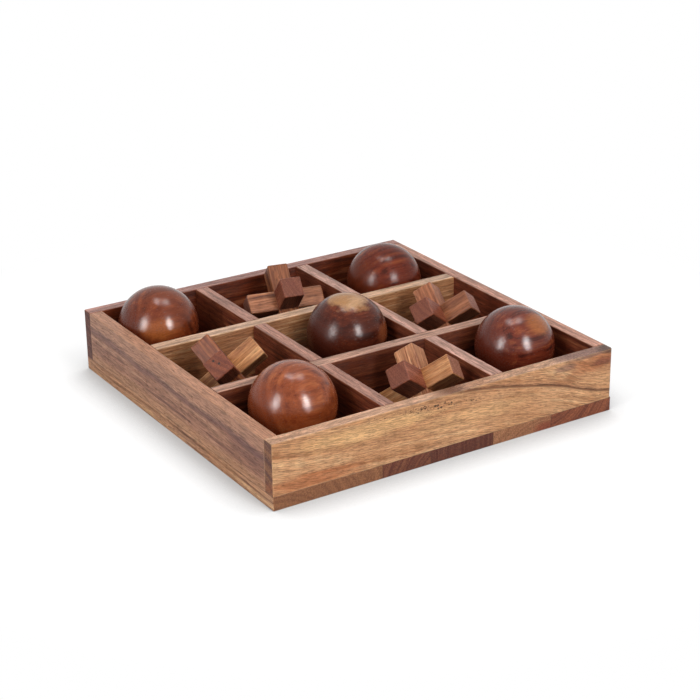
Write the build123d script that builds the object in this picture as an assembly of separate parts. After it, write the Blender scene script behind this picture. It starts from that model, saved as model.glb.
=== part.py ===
from build123d import *
import os
from math import cos, radians, sin, sqrt

# A wooden noughts and crosses game: a nine-cell tray, five balls and four three-way jacks.
# Millimetres. The origin is the centre of the tray's underside. +Z is up, X runs along the
# front board and Y runs from front to back.

# Tray
TRAY_SIDE = 300.0
TRAY_HEIGHT = 51.4
BOARD_THICK = 10.8
DIVIDER_THICK = 11.2
HALF = TRAY_SIDE / 2
INNER = HALF - BOARD_THICK
WALL_HEIGHT = TRAY_HEIGHT - BOARD_THICK
CELL = (2 * INNER - 2 * DIVIDER_THICK) / 3
DIVIDER_OFFSET = (CELL + DIVIDER_THICK) / 2

# The base is edge-glued from staves; these are the glue lines along X.
STAVE_JOINTS = (-59.7, -18.0, 37.7, 92.0)

# Stopped housings in the walls take the divider ends.
HOUSING_DEPTH = 3.0
HOUSING_STOP = 9.0

# Eased edges
TOP_EASE = 0.8
FOOT_EASE = 0.6
SEAM_EASE = 0.4
CORNER_EASE = 1.0
WORN_CORNER = 3.2
WORN_BASE_CORNER = 1.6

# A place this near a face lies in it, and a rounded corner's middle is this near the outline.
ON_FACE = 0.01
NEAR_OUTLINE = WORN_CORNER / 3

# Loose pieces rest this far above the floor, so that no curved face cuts into it.
REST_GAP = 0.3
FLOOR = BOARD_THICK + REST_GAP

# Turned balls: centre X, centre Y, diameter. They are hand-turned and differ a little.
BALLS = {
    "ball_back_left": (-106.6, 104.0, 64.4),
    "ball_front_left": (-95.8, -87.2, 65.4),
    "ball_centre": (10.0, 6.8, 64.0),
    "ball_back_right": (100.0, 89.6, 63.0),
    "ball_front_right": (104.5, -86.9, 62.8),
}

# Jacks: two crossed sticks and a pair of stubs, all of one square section.
STICK_LONG = 64.7
STICK_SQUARE = 17.3
STICK_ARRIS = 1.3
REACH = STICK_LONG / 2
SIDE = STICK_SQUARE / 2

# Each jack: centre X, centre Y, turn of its first stick about Z in degrees, and its stance.
JACKS = {
    "jack_left": (-103.6, -3.4, -11.9, "tripod"),
    "jack_front": (4.0, -104.2, -44.4, "tripod"),
    "jack_right": (89.6, -7.2, -39.5, "tripod"),
    "jack_back": (5.8, 96.8, -12.5, "cradle"),
}


def block(x_low, x_high, y_low, y_high, z_low, z_high):
    """A square-edged block between two corners."""
    body = Box(x_high - x_low, y_high - y_low, z_high - z_low)
    return Pos((x_low + x_high) / 2, (y_low + y_high) / 2, (z_low + z_high) / 2) * body


def is_worn_corner(edge):
    """The front right upright of the tray, rubbed round by handling."""
    centre = edge.center()
    return centre.X > HALF - ON_FACE and centre.Y < ON_FACE - HALF


def is_corner(edge):
    """An upright edge at one of the tray's other outer corners."""
    centre = edge.center()
    at_corner = min(abs(centre.X), abs(centre.Y)) > HALF - ON_FACE
    return at_corner and not is_worn_corner(edge)


def on_outline(edge):
    """An edge that lies in one of the tray's outer faces or its rounded corner."""
    centre = edge.center()
    return max(abs(centre.X), abs(centre.Y)) > HALF - NEAR_OUTLINE


def eased_uprights(board, worn_radius):
    """Rounds the uprights that stand at the tray's outer corners."""
    uprights = board.edges().filter_by(Axis.Z)
    worn = uprights.filter_by(is_worn_corner)
    if worn:
        board = fillet(worn, worn_radius)
    plain = board.edges().filter_by(Axis.Z).filter_by(is_corner)
    if plain:
        board = fillet(plain, CORNER_EASE)
    return board


def base_stave(x_low, x_high):
    """One stave of the base, grain along Y, eased round the tray's underside and its seam."""
    stave = eased_uprights(block(x_low, x_high, -HALF, HALF, 0, BOARD_THICK), WORN_BASE_CORNER)
    foot_edges = stave.edges().group_by(Axis.Z)[0].filter_by(on_outline)
    stave = fillet(foot_edges, FOOT_EASE)
    seam_edges = stave.edges().group_by(Axis.Z)[-1].filter_by(on_outline)
    return fillet(seam_edges, SEAM_EASE)


def eased_top(board):
    """Softens every edge round the top of a wall or divider."""
    return fillet(board.edges().group_by(Axis.Z)[-1], TOP_EASE)


def housing(offset, along):
    """The pair of stopped sockets that the ends of one divider fill."""
    wide = DIVIDER_THICK / 2
    top = TRAY_HEIGHT - HOUSING_STOP
    deep = INNER + HOUSING_DEPTH
    if along == "x":
        return block(-deep, deep, offset - wide, offset + wide, BOARD_THICK, top)
    return block(offset - wide, offset + wide, -deep, deep, BOARD_THICK, top)


def end_wall(side):
    """The front (side -1) or back (side 1) board: full width, it covers the side boards' ends."""
    y_low, y_high = sorted((side * INNER, side * HALF))
    board = eased_uprights(block(-HALF, HALF, y_low, y_high, BOARD_THICK, TRAY_HEIGHT), WORN_CORNER)
    board = eased_top(board)
    for offset in (-DIVIDER_OFFSET, DIVIDER_OFFSET):
        board = board - housing(offset, "y")
    return board


def side_wall(side):
    """The left (side -1) or right (side 1) board, butted between the front and back boards."""
    x_low, x_high = sorted((side * INNER, side * HALF))
    board = eased_top(block(x_low, x_high, -INNER, INNER, BOARD_THICK, TRAY_HEIGHT))
    for offset in (-DIVIDER_OFFSET, DIVIDER_OFFSET):
        board = board - housing(offset, "x")
    return board


def divider_blank():
    """A divider along X with a tongue at each end, before its halving slots are cut."""
    wide = DIVIDER_THICK / 2
    blank = block(-INNER, INNER, -wide, wide, BOARD_THICK, TRAY_HEIGHT)
    blank = eased_top(blank)
    return blank + housing(0, "x")


def divider(offset, along, slot_from):
    """A divider at its offset, slotted to half its height where the two others cross it."""
    half_height = BOARD_THICK + WALL_HEIGHT / 2
    blank = divider_blank()
    for crossing in (-DIVIDER_OFFSET, DIVIDER_OFFSET):
        left = crossing - DIVIDER_THICK / 2
        right = crossing + DIVIDER_THICK / 2
        if slot_from == "below":
            slot = block(left, right, -DIVIDER_THICK, DIVIDER_THICK, 0, half_height)
        else:
            slot = block(left, right, -DIVIDER_THICK, DIVIDER_THICK, half_height, 2 * TRAY_HEIGHT)
        blank = blank - slot
    if along == "x":
        return Pos(0, offset, 0) * blank
    return Pos(offset, 0, 0) * Rot(0, 0, 90) * blank


def ball(centre_x, centre_y, diameter):
    """A turned ball resting on the floor of its cell."""
    return Pos(centre_x, centre_y, FLOOR + diameter / 2) * Sphere(diameter / 2)


def square_stick():
    """A whole stick along its own X with every arris rubbed round."""
    stick = Box(STICK_LONG, STICK_SQUARE, STICK_SQUARE)
    return fillet(stick.edges(), STICK_ARRIS)


def lapped_stick(lap_side):
    """A whole stick with half its section cut away at the middle, on the lap_side of Z."""
    z_low, z_high = sorted((0, lap_side * STICK_SQUARE))
    return square_stick() - block(-SIDE, SIDE, -STICK_SQUARE, STICK_SQUARE, z_low, z_high)


def stub(direction):
    """A stub that stands on one face of the crossed sticks and runs out along Z."""
    whole = Rot(0, -90, 0) * square_stick()
    z_low, z_high = sorted((direction * SIDE, direction * STICK_LONG))
    return whole & block(-STICK_SQUARE, STICK_SQUARE, -STICK_SQUARE, STICK_SQUARE, z_low, z_high)


def tripod_frame(turn):
    """First and third stick directions of a jack on three feet: each rises by the same angle."""
    rise = sqrt(1 / 3)
    flat = sqrt(2 / 3)
    first = (flat * cos(radians(turn)), flat * sin(radians(turn)), rise)
    third = (flat * cos(radians(turn + 240)), flat * sin(radians(turn + 240)), rise)
    return first, third


def cradle_frame(turn):
    """First and third stick directions of a jack with one stick level and the others crossed."""
    rise = sqrt(1 / 2)
    first = (cos(radians(turn)), sin(radians(turn)), 0)
    third = (rise * cos(radians(turn - 90)), rise * sin(radians(turn - 90)), rise)
    return first, third


def resting_height(stance):
    """Height of a jack's centre, from its lowest rounded corner or arris to the floor."""
    if stance == "tripod":
        sharp = (REACH + 2 * SIDE) / sqrt(3)
        return FLOOR + sharp - STICK_ARRIS * (sqrt(3) - 1)
    sharp = (REACH + SIDE) / sqrt(2)
    return FLOOR + sharp - STICK_ARRIS * (sqrt(2) - 1)


def jack(name, centre_x, centre_y, turn, stance):
    """The four pieces of one jack, seated together and resting in its cell."""
    if stance == "tripod":
        first, third = tripod_frame(turn)
    else:
        first, third = cradle_frame(turn)
    origin = (centre_x, centre_y, resting_height(stance))
    seat = Location(Plane(origin=origin, x_dir=first, z_dir=third))
    return {
        name + "_stick_under": seat * lapped_stick(1),
        name + "_stick_over": seat * Rot(0, 0, 90) * lapped_stick(-1),
        name + "_stub_upper": seat * stub(1),
        name + "_stub_lower": seat * stub(-1),
    }


def tray():
    """Every fixed piece of the tray by node name."""
    pieces = {}
    joints = (-HALF,) + STAVE_JOINTS + (HALF,)
    for number, (x_low, x_high) in enumerate(zip(joints[:-1], joints[1:]), start=1):
        pieces["base_stave_%d" % number] = base_stave(x_low, x_high)
    pieces["wall_front"] = end_wall(-1)
    pieces["wall_back"] = end_wall(1)
    pieces["wall_left"] = side_wall(-1)
    pieces["wall_right"] = side_wall(1)
    pieces["divider_over_front"] = divider(-DIVIDER_OFFSET, "x", "below")
    pieces["divider_over_back"] = divider(DIVIDER_OFFSET, "x", "below")
    pieces["divider_under_left"] = divider(-DIVIDER_OFFSET, "y", "above")
    pieces["divider_under_right"] = divider(DIVIDER_OFFSET, "y", "above")
    return pieces


def game():
    """Every piece of the game by node name."""
    pieces = tray()
    for name, values in BALLS.items():
        pieces[name] = ball(*values)
    for name, values in JACKS.items():
        pieces.update(jack(name, *values))
    return pieces


def main():
    os.makedirs("parts", exist_ok=True)
    for name, solid in game().items():
        export_step(solid, "parts/%s.step" % name)


if __name__ == "__main__":
    main()
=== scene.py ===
"""The looks of a wooden noughts and crosses game: a nine-cell tray, turned balls and jacks.

Metres. The origin is the centre of the tray's underside, +Z is up, X runs along the front
board and Y runs from the front board to the back one.
"""

import logging
import math
from dataclasses import dataclass, field, replace
from enum import Enum
from typing import Any, Optional, Union

import bpy
from mathutils import Euler, Matrix, Vector


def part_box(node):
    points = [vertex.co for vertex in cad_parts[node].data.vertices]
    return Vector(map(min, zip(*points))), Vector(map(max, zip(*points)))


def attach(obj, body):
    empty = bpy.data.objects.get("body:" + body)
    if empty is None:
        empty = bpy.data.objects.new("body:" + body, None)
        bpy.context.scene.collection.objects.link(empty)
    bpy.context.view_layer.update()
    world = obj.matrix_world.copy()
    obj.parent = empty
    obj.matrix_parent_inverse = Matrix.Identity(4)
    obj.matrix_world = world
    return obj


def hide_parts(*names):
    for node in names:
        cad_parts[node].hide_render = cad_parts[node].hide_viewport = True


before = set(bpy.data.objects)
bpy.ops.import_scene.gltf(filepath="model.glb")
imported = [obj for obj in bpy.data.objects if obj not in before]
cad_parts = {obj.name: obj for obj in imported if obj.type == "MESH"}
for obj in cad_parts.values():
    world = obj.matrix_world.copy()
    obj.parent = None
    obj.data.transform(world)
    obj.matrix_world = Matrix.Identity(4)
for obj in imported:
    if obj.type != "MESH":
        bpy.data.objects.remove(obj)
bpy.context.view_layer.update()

LOG = logging.getLogger("noughts_and_crosses")

Socket = bpy.types.NodeSocket
Value = Union[Socket, float, tuple]

# A cloud pattern keeps mostly between these numbers, which count as nothing and as full.
CLOUD_RANGE = (0.3, 0.7)


class Grain(Enum):
    """The way a board's grain runs, as the turn in degrees that lays its own X along it."""

    ALONG_X = (0.0, 0.0, 0.0)
    ALONG_Y = (0.0, 0.0, 90.0)


class Stance(Enum):
    """How a jack lies in its cell."""

    TRIPOD = "on three feet"
    CRADLE = "one stick level, two crossed"


class Member(Enum):
    """A jack's four pieces, by the end of their node's name."""

    STICK_UNDER = "stick_under"
    STICK_OVER = "stick_over"
    STUB_UPPER = "stub_upper"
    STUB_LOWER = "stub_lower"


@dataclass(frozen=True)
class Tone:
    """A colour as a paint card gives it, each channel from 0 to 255."""

    red: int
    green: int
    blue: int

    def linear(self) -> tuple[float, float, float, float]:
        """The colour as a shader takes it."""
        return (*(self._channel(part / 255) for part in (self.red, self.green, self.blue)), 1.0)

    @staticmethod
    def _channel(part: float) -> float:
        """One channel with its display curve taken off."""
        return part / 12.92 if part <= 0.04045 else ((part + 0.055) / 1.055) ** 2.4


class Wiring:
    """Adds and joins the nodes of one tree."""

    def __init__(self, tree: bpy.types.NodeTree) -> None:
        """Keeps the tree that the nodes go into."""
        self.tree = tree

    def feed(self, socket: Socket, value: Value) -> None:
        """Joins a socket to the one that feeds it, or sets it to a plain value.

        Args:
            socket: The socket that takes the value.
            value: Another node's output, or a number, a vector or a colour.
        """
        if isinstance(value, Socket):
            self.tree.links.new(value, socket)
        else:
            socket.default_value = value

    def add(self, kind: str, values: Optional[dict[str, Value]] = None, **settings: Any) -> bpy.types.Node:
        """Adds one node.

        Args:
            kind: Blender's name for the node's type.
            values: What feeds or sets its inputs, by name.
            settings: Properties to set on it.

        Returns:
            The new node.
        """
        node = self.tree.nodes.new(kind)
        for name, setting in settings.items():
            setattr(node, name, setting)
        for name, value in (values or {}).items():
            self.feed(node.inputs[name], value)
        return node

    def math(self, operation: str, first: Value, second: Value = 0.0, clamp: bool = False) -> Socket:
        """One sum on one or two numbers.

        Args:
            operation: The Math node's operation.
            first: The first number.
            second: The second number, where the operation takes one.
            clamp: Whether the result is held between 0 and 1.

        Returns:
            The result's socket.
        """
        node = self.add("ShaderNodeMath", operation=operation, use_clamp=clamp)
        self.feed(node.inputs[0], first)
        self.feed(node.inputs[1], second)
        return node.outputs[0]

    def vector(self, operation: str, first: Value, second: Value = (0.0, 0.0, 0.0)) -> Socket:
        """One sum on one or two vectors.

        Args:
            operation: The Vector Math node's operation.
            first: The first vector.
            second: The second vector, where the operation takes one.

        Returns:
            The result's socket, a number's for a length or a dot product.
        """
        node = self.add("ShaderNodeVectorMath", operation=operation)
        self.feed(node.inputs[0], first)
        self.feed(node.inputs[1], second)
        return node.outputs["Value" if operation in ("LENGTH", "DOT_PRODUCT") else "Vector"]

    def remap(
        self, value: Value, low: Value, high: Value, start: Value = 0.0, end: Value = 1.0
    ) -> Socket:
        """Takes a number smoothly from start at low to end at high, and holds it beyond them.

        Args:
            value: The number.
            low: Where the change begins.
            high: Where the change ends.
            start: The result at low.
            end: The result at high.

        Returns:
            The result's socket.
        """
        values = {"Value": value, "From Min": low, "From Max": high, "To Min": start, "To Max": end}
        return self.add("ShaderNodeMapRange", values, interpolation_type="SMOOTHSTEP").outputs["Result"]

    def swing(self, mask: Value, reach: Value) -> Socket:
        """How far a mask moves something up or down from its middle."""
        return self.math("MULTIPLY", self.math("SUBTRACT", mask, 0.5), reach)

    def blend(self, share: Value, first: Value, second: Value) -> Socket:
        """Mixes two colours.

        Args:
            share: How much of the second one shows.
            first: The colour below.
            second: The colour above.

        Returns:
            The mixed colour's socket.
        """
        node = self.add("ShaderNodeMix", data_type="RGBA")
        factor, below, above = (node.inputs[index] for index in (0, 6, 7))
        self.feed(factor, share)
        self.feed(below, first)
        self.feed(above, second)
        return node.outputs[2]

    def split(self, vector: Value) -> tuple[Socket, Socket, Socket]:
        """Takes a vector apart.

        Args:
            vector: The vector.

        Returns:
            The sockets of its three parts.
        """
        node = self.add("ShaderNodeSeparateXYZ", {"Vector": vector})
        return node.outputs["X"], node.outputs["Y"], node.outputs["Z"]

    def join(self, x: Value, y: Value, z: Value) -> Socket:
        """A vector from its three parts."""
        return self.add("ShaderNodeCombineXYZ", {"X": x, "Y": y, "Z": z}).outputs["Vector"]

    def noise(
        self,
        place: Value,
        seed: Value,
        detail: float = 2.0,
        rough: float = 0.5,
        cells: Optional[tuple[float, float, float]] = None,
    ) -> bpy.types.Node:
        """A cloud pattern.

        Args:
            place: Where in the pattern each point lies.
            seed: The slice of the pattern, so that no two pieces share one.
            detail: How many finer layers it has.
            rough: How strong the finer layers are.
            cells: How many cells fit in one unit of place each way, where it isn't one.

        Returns:
            The noise node, with its Fac and Color outputs.
        """
        if cells is not None:
            place = self.vector("MULTIPLY", place, cells)
        values = {"Vector": place, "W": seed, "Scale": 1.0, "Detail": detail, "Roughness": rough}
        return self.add("ShaderNodeTexNoise", values, noise_dimensions="4D")

    def place(self, tree: bpy.types.NodeTree, values: dict[str, Value]) -> bpy.types.Node:
        """Puts a node group in the tree and feeds its inputs by name."""
        return self.add("ShaderNodeGroup", values, node_tree=tree)


def new_group(name: str, takes: dict[str, str], gives: tuple[str, ...]) -> tuple[Wiring, Any, Any]:
    """Starts a shader node group.

    Args:
        name: The group's name.
        takes: Each input's name and its kind, Float or Vector.
        gives: The outputs' names, all of them numbers.

    Returns:
        The group's wiring, the outputs of its input node and the inputs of its output node.
    """
    tree = bpy.data.node_groups.new(name, "ShaderNodeTree")
    for label, kind in takes.items():
        tree.interface.new_socket(name=label, in_out="INPUT", socket_type="NodeSocket" + kind)
    for label in gives:
        tree.interface.new_socket(name=label, in_out="OUTPUT", socket_type="NodeSocketFloat")
    wiring = Wiring(tree)
    return wiring, wiring.add("NodeGroupInput").outputs, wiring.add("NodeGroupOutput").inputs


def log_figure_group() -> bpy.types.NodeTree:
    """What a saw, plane or lathe lays open in a log: rings, streaks, fibres, pores and slow drifts.

    Returns:
        A group that reads a place in the log, with the grain along X, in metres.
    """
    takes = {
        "place": "Vector",
        "pith": "Vector",
        "ring width": "Float",
        "wander": "Float",
        "fibre length": "Float",
        "fibre width": "Float",
        "seed": "Float",
    }
    gives = ("ring", "drift", "streak", "fibre", "ripple", "pore")
    w, given, out = new_group("log_figure", takes, gives)
    place = given["place"]
    seed = given["seed"]

    # How many cells each cloud has in a metre, along the grain and then across it.
    warp_cells = (7.0, 26.0, 26.0)
    drift_cells = (13.0, 34.0, 34.0)
    streak_cells = (16.0, 300.0, 300.0)
    ripple_cells = (150.0, 50.0, 50.0)
    # Each cloud reads a slice of its own, this far from the piece's seed.
    drift_slice = 11.0
    streak_slice = 17.0
    fibre_slice = 23.0
    ripple_slice = 31.0
    # How many rings further along each seed starts.
    rings_apart = 7.3
    # The numbers between which the rings and the drifts go from nothing to full.
    ring_range = (0.28, 0.72)
    drift_range = (0.36, 0.64)
    # A pore's cells in one fibre: it is shorter than the fibre and wider.
    pore_cells = (1.6, 0.55, 0.55)
    pore_core = 0.1
    pore_rim = 0.36
    # Only the cells whose random number is above these are open pores.
    open_range = (0.4, 0.6)

    bent = w.noise(place, seed, cells=warp_cells)
    push = w.vector("SUBTRACT", bent.outputs["Color"], (0.5, 0.5, 0.5))
    reach = w.math("MULTIPLY", given["wander"], 2.0)
    warped = w.vector("ADD", place, w.vector("MULTIPLY", push, w.join(0.0, reach, reach)))

    spoke = w.vector("MULTIPLY", w.vector("SUBTRACT", warped, given["pith"]), (0.0, 1.0, 1.0))
    rings_out = w.math("DIVIDE", w.vector("LENGTH", spoke), given["ring width"])
    age = w.math("ADD", rings_out, w.math("MULTIPLY", seed, rings_apart))
    values = {"W": age, "Scale": 1.0, "Detail": 3.0, "Roughness": 0.6}
    rings = w.add("ShaderNodeTexNoise", values, noise_dimensions="1D")
    w.feed(out["ring"], w.remap(rings.outputs["Fac"], *ring_range))

    drift = w.noise(place, w.math("ADD", seed, drift_slice), detail=3.0, cells=drift_cells)
    w.feed(out["drift"], w.remap(drift.outputs["Fac"], *drift_range))
    streak = w.noise(warped, w.math("ADD", seed, streak_slice), detail=4.0, rough=0.6, cells=streak_cells)
    w.feed(out["streak"], w.remap(streak.outputs["Fac"], *CLOUD_RANGE))
    ripple = w.noise(place, w.math("ADD", seed, ripple_slice), cells=ripple_cells)
    w.feed(out["ripple"], w.remap(ripple.outputs["Fac"], *CLOUD_RANGE))

    strand = w.join(given["fibre length"], given["fibre width"], given["fibre width"])
    strands = w.vector("DIVIDE", warped, strand)
    fibre = w.noise(strands, w.math("ADD", seed, fibre_slice), detail=4.0, rough=0.7)
    w.feed(out["fibre"], w.remap(fibre.outputs["Fac"], *CLOUD_RANGE))
    values = {"Vector": w.vector("MULTIPLY", strands, pore_cells), "Scale": 1.0}
    holes = w.add("ShaderNodeTexVoronoi", values, feature="F1")
    hole = w.remap(holes.outputs["Distance"], pore_core, pore_rim, 1.0, 0.0)
    is_open = w.remap(w.split(holes.outputs["Color"])[0], *open_range)
    w.feed(out["pore"], w.math("MULTIPLY", hole, is_open))
    return w.tree


def end_grain_group() -> bpy.types.NodeTree:
    """Where a surface cuts across the fibres.

    Returns:
        A group that compares the surface's normal with the grain's direction.
    """
    w, given, out = new_group("end_grain", {"normal": "Vector", "grain": "Vector"}, ("end",))
    # How far the normal follows the grain where long grain ends and where end grain is full.
    long_below = 0.55
    end_above = 0.9
    facing = w.math("ABSOLUTE", w.vector("DOT_PRODUCT", given["normal"], given["grain"]))
    w.feed(out["end"], w.remap(facing, long_below, end_above))
    return w.tree


def arris_wear_and_highlight_group() -> bpy.types.NodeTree:
    """The rubbed strip along the arrises of a squared piece, also used to lay painted highlight along them.

    Returns:
        A group that reads a place from the piece's centre and half its size, in metres.
    """
    takes = {"place": "Vector", "half size": "Vector", "reach": "Float", "seed": "Float"}
    w, given, out = new_group("arris_wear_and_highlight", takes, ("wear_and_highlight",))
    chip_cells = (160.0, 260.0, 260.0)
    # The strip's width, in reaches, where it is narrowest and widest.
    narrowest = 0.35
    widest = 1.5
    # An arris is where the second smallest of the three gaps to the faces is small.
    gap = w.vector("SUBTRACT", given["half size"], w.vector("ABSOLUTE", given["place"]))
    gap_x, gap_y, gap_z = w.split(gap)
    near = w.math("MINIMUM", gap_x, gap_y)
    far = w.math("MAXIMUM", gap_x, gap_y)
    middle = w.math("MAXIMUM", near, w.math("MINIMUM", far, gap_z))
    chips = w.noise(given["place"], given["seed"], detail=3.0, rough=0.6, cells=chip_cells)
    ragged = w.remap(chips.outputs["Fac"], *CLOUD_RANGE, narrowest, widest)
    strip = w.math("MULTIPLY", given["reach"], ragged)
    w.feed(out["wear_and_highlight"], w.remap(w.math("DIVIDE", middle, strip), 0.0, 1.0, 1.0, 0.0))
    return w.tree


def seam_group() -> bpy.types.NodeTree:
    """The dark line where two glued pieces meet, broken here and there.

    Returns:
        A group that reads the distance across the seam and along it, in metres.
    """
    takes = {"across": "Float", "seam": "Float", "width": "Float", "place": "Vector"}
    w, given, out = new_group("glue_seam", takes, ("line",))
    gap_cells = (90.0, 90.0, 90.0)
    gap_slice = 3.0
    gap_range = (0.3, 0.5)
    # How much of the line is left in its gaps.
    faintest = 0.35
    away = w.math("ABSOLUTE", w.math("SUBTRACT", given["across"], given["seam"]))
    gaps = w.noise(given["place"], gap_slice, cells=gap_cells)
    line = w.remap(w.math("DIVIDE", away, given["width"]), 0.0, 1.0, 1.0, 0.0)
    whole = w.remap(gaps.outputs["Fac"], *gap_range, faintest, 1.0)
    w.feed(out["line"], w.math("MULTIPLY", line, whole))
    return w.tree


def band_group() -> bpy.types.NodeTree:
    """A stretch between two heights across a board, with a ragged, wavy outline along the grain.

    Returns:
        A group that reads a place from the board's centre, in metres.
    """
    takes = {
        "place": "Vector",
        "low": "Float",
        "high": "Float",
        "softness": "Float",
        "wave": "Float",
        "fibre": "Float",
        "seed": "Float",
    }
    w, given, out = new_group("grain_band", takes, ("band",))
    wave_cells = (14.0, 20.0, 6.0)
    waves = w.noise(given["place"], given["seed"], cells=wave_cells)
    rise = w.swing(waves.outputs["Fac"], w.math("MULTIPLY", given["wave"], 2.0))
    frayed = w.swing(given["fibre"], given["softness"])
    height = w.math("ADD", w.split(given["place"])[2], w.math("ADD", rise, frayed))
    above = w.math("DIVIDE", w.math("SUBTRACT", height, given["low"]), given["softness"])
    below = w.math("DIVIDE", w.math("SUBTRACT", given["high"], height), given["softness"])
    w.feed(out["band"], w.math("MULTIPLY", w.remap(above, -1.0, 1.0), w.remap(below, -1.0, 1.0)))
    return w.tree


def stain_group() -> bpy.types.NodeTree:
    """A soft-edged patch of another colour with a ragged outline.

    Returns:
        A group that reads a place from the piece's centre, in metres.
    """
    takes = {
        "place": "Vector",
        "centre": "Vector",
        "reach": "Vector",
        "core": "Float",
        "ragged": "Float",
        "seed": "Float",
    }
    w, given, out = new_group("stain", takes, ("stain",))
    # Cells of the ragged outline in one reach of the patch.
    outline_cells = (1.4, 1.4, 1.4)
    off = w.vector("DIVIDE", w.vector("SUBTRACT", given["place"], given["centre"]), given["reach"])
    outline = w.noise(off, given["seed"], detail=4.0, rough=0.6, cells=outline_cells)
    push = w.swing(outline.outputs["Fac"], w.math("MULTIPLY", given["ragged"], 2.0))
    distance = w.math("ADD", w.vector("LENGTH", off), push)
    w.feed(out["stain"], w.remap(distance, given["core"], 1.0, 1.0, 0.0))
    return w.tree


def fleck_group() -> bpy.types.NodeTree:
    """Small dark mineral flecks scattered about a line of the grain.

    Returns:
        A group that reads places along and across the grain, in metres.
    """
    takes = {
        "along": "Float",
        "across": "Float",
        "start": "Float",
        "end": "Float",
        "line": "Float",
        "spread": "Float",
        "fleck": "Float",
        "seed": "Float",
    }
    w, given, out = new_group("mineral_flecks", takes, ("fleck",))
    # A fleck's length in its own widths, and how far its edge is blurred.
    stretch = 1.7
    blur = 0.14
    # The random numbers between which a fleck grows from nothing to its full size.
    size_range = (0.25, 0.95)
    full_size = 0.62
    # The run thins out over this length at its start and at its end, in metres.
    fade_in = 0.01
    fade_out = 0.008
    # Denser and sparser stretches of the run.
    lump_cells = (0.22, 0.3, 1.0)
    lump_slice = 4.0
    lump_range = (0.3, 0.6)
    sparsest = 0.35

    cell = w.join(
        w.math("DIVIDE", given["along"], w.math("MULTIPLY", given["fleck"], stretch)),
        w.math("DIVIDE", given["across"], given["fleck"]),
        given["seed"],
    )
    values = {"Vector": cell, "Scale": 1.0}
    blots = w.add("ShaderNodeTexVoronoi", values, feature="F1", voronoi_dimensions="2D")
    lumps = w.noise(cell, lump_slice, rough=0.6, cells=lump_cells)
    off_line = w.math("ABSOLUTE", w.math("SUBTRACT", given["across"], given["line"]))
    away = w.math("DIVIDE", off_line, given["spread"])
    ends = w.math(
        "MULTIPLY",
        w.remap(w.math("SUBTRACT", given["along"], given["start"]), 0.0, fade_in),
        w.remap(w.math("SUBTRACT", given["end"], given["along"]), 0.0, fade_out),
    )
    crowd = w.math("MULTIPLY", w.remap(away, 0.0, 1.0, 1.0, 0.0), ends)
    crowd = w.math("MULTIPLY", crowd, w.remap(lumps.outputs["Fac"], *lump_range, sparsest, 1.0))
    size = w.remap(w.split(blots.outputs["Color"])[0], *size_range, 0.0, full_size)
    inside = w.math("SUBTRACT", w.math("MULTIPLY", size, crowd), blots.outputs["Distance"])
    w.feed(out["fleck"], w.math("DIVIDE", inside, blur, clamp=True))
    return w.tree


@dataclass(frozen=True)
class Seat:
    """Where a piece's own log lies: its centre, its turn and half its size along the grain's axes."""

    centre: Vector
    turn: Euler
    half: Vector

    def grain(self) -> tuple[float, float, float]:
        """The direction of the grain."""
        along = self.turn.to_matrix() @ Vector((1.0, 0.0, 0.0))
        return tuple(along)


@dataclass(frozen=True)
class Bend:
    """How a board's grain dips along its length: distance from its centre and drop, in metres."""

    length: float
    depth: float
    points: tuple[tuple[float, float], ...]


@dataclass(frozen=True)
class Flecks:
    """A run of mineral flecks along one line of the grain, in the board's bent grain."""

    start: float
    end: float
    line: float
    spread: float
    size: float
    tone: Tone
    share: float
    seed: float = 2.0


@dataclass(frozen=True)
class Band:
    """A stretch of another colour between two heights across a board, in its bent grain."""

    low: float
    high: float
    tone: Tone
    share: float
    softness: float
    wave: float


@dataclass(frozen=True)
class Stain:
    """A soft patch of another colour: its middle and its reach along the seat's axes."""

    centre: tuple[float, float, float]
    reach: tuple[float, float, float]
    tone: Tone
    share: float
    ragged: float = 0.45
    core: float = 0.4


@dataclass(frozen=True)
class WoodFinish:
    """The colours and figure of one board, billet or ball, cut from its own log.

    Sizes are in metres, and shares and depths run from 0 to 1.
    """

    deep: Tone
    body: Tone
    pale: Tone
    drift: Tone
    end: Tone
    # Painted shading of the faces turned up: its tone and how much of it shows.
    painted_top_shading: Optional[Tone] = None
    painted_top_shading_share: float = 0.8
    pith: tuple[float, float] = (0.03, -0.08)
    ring_width: float = 0.004
    ring_share: float = 0.5
    end_ring_share: float = 0.75
    streak_share: float = 0.75
    ripple_share: float = 0.12
    wander: float = 0.004
    drift_share: float = 0.5
    fibre_length: float = 0.011
    fibre_width: float = 0.0008
    fibre_depth: float = 0.7
    pore_depth: float = 0.5
    # Painted shade: how far faces turned down are darkened, and the dark tone they take.
    underside_painted_shade: float = 0.0
    underside_painted_shade_tone: Tone = Tone(46, 20, 12)
    # The rubbed arrises: their width, and how far they are lightened, partly real wear and partly painted
    # highlight.
    wear_and_highlight: float = 0.0012
    wear_and_highlight_share: float = 0.3
    gloss: float = 0.42
    sheen: float = 0.22
    relief: float = 0.00018
    seed: float = 1.0
    bend: Optional[Bend] = None
    flecks: tuple[Flecks, ...] = ()
    bands: tuple[Band, ...] = ()
    stains: tuple[Stain, ...] = ()
    seams: tuple[tuple[int, float], ...] = ()


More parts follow.
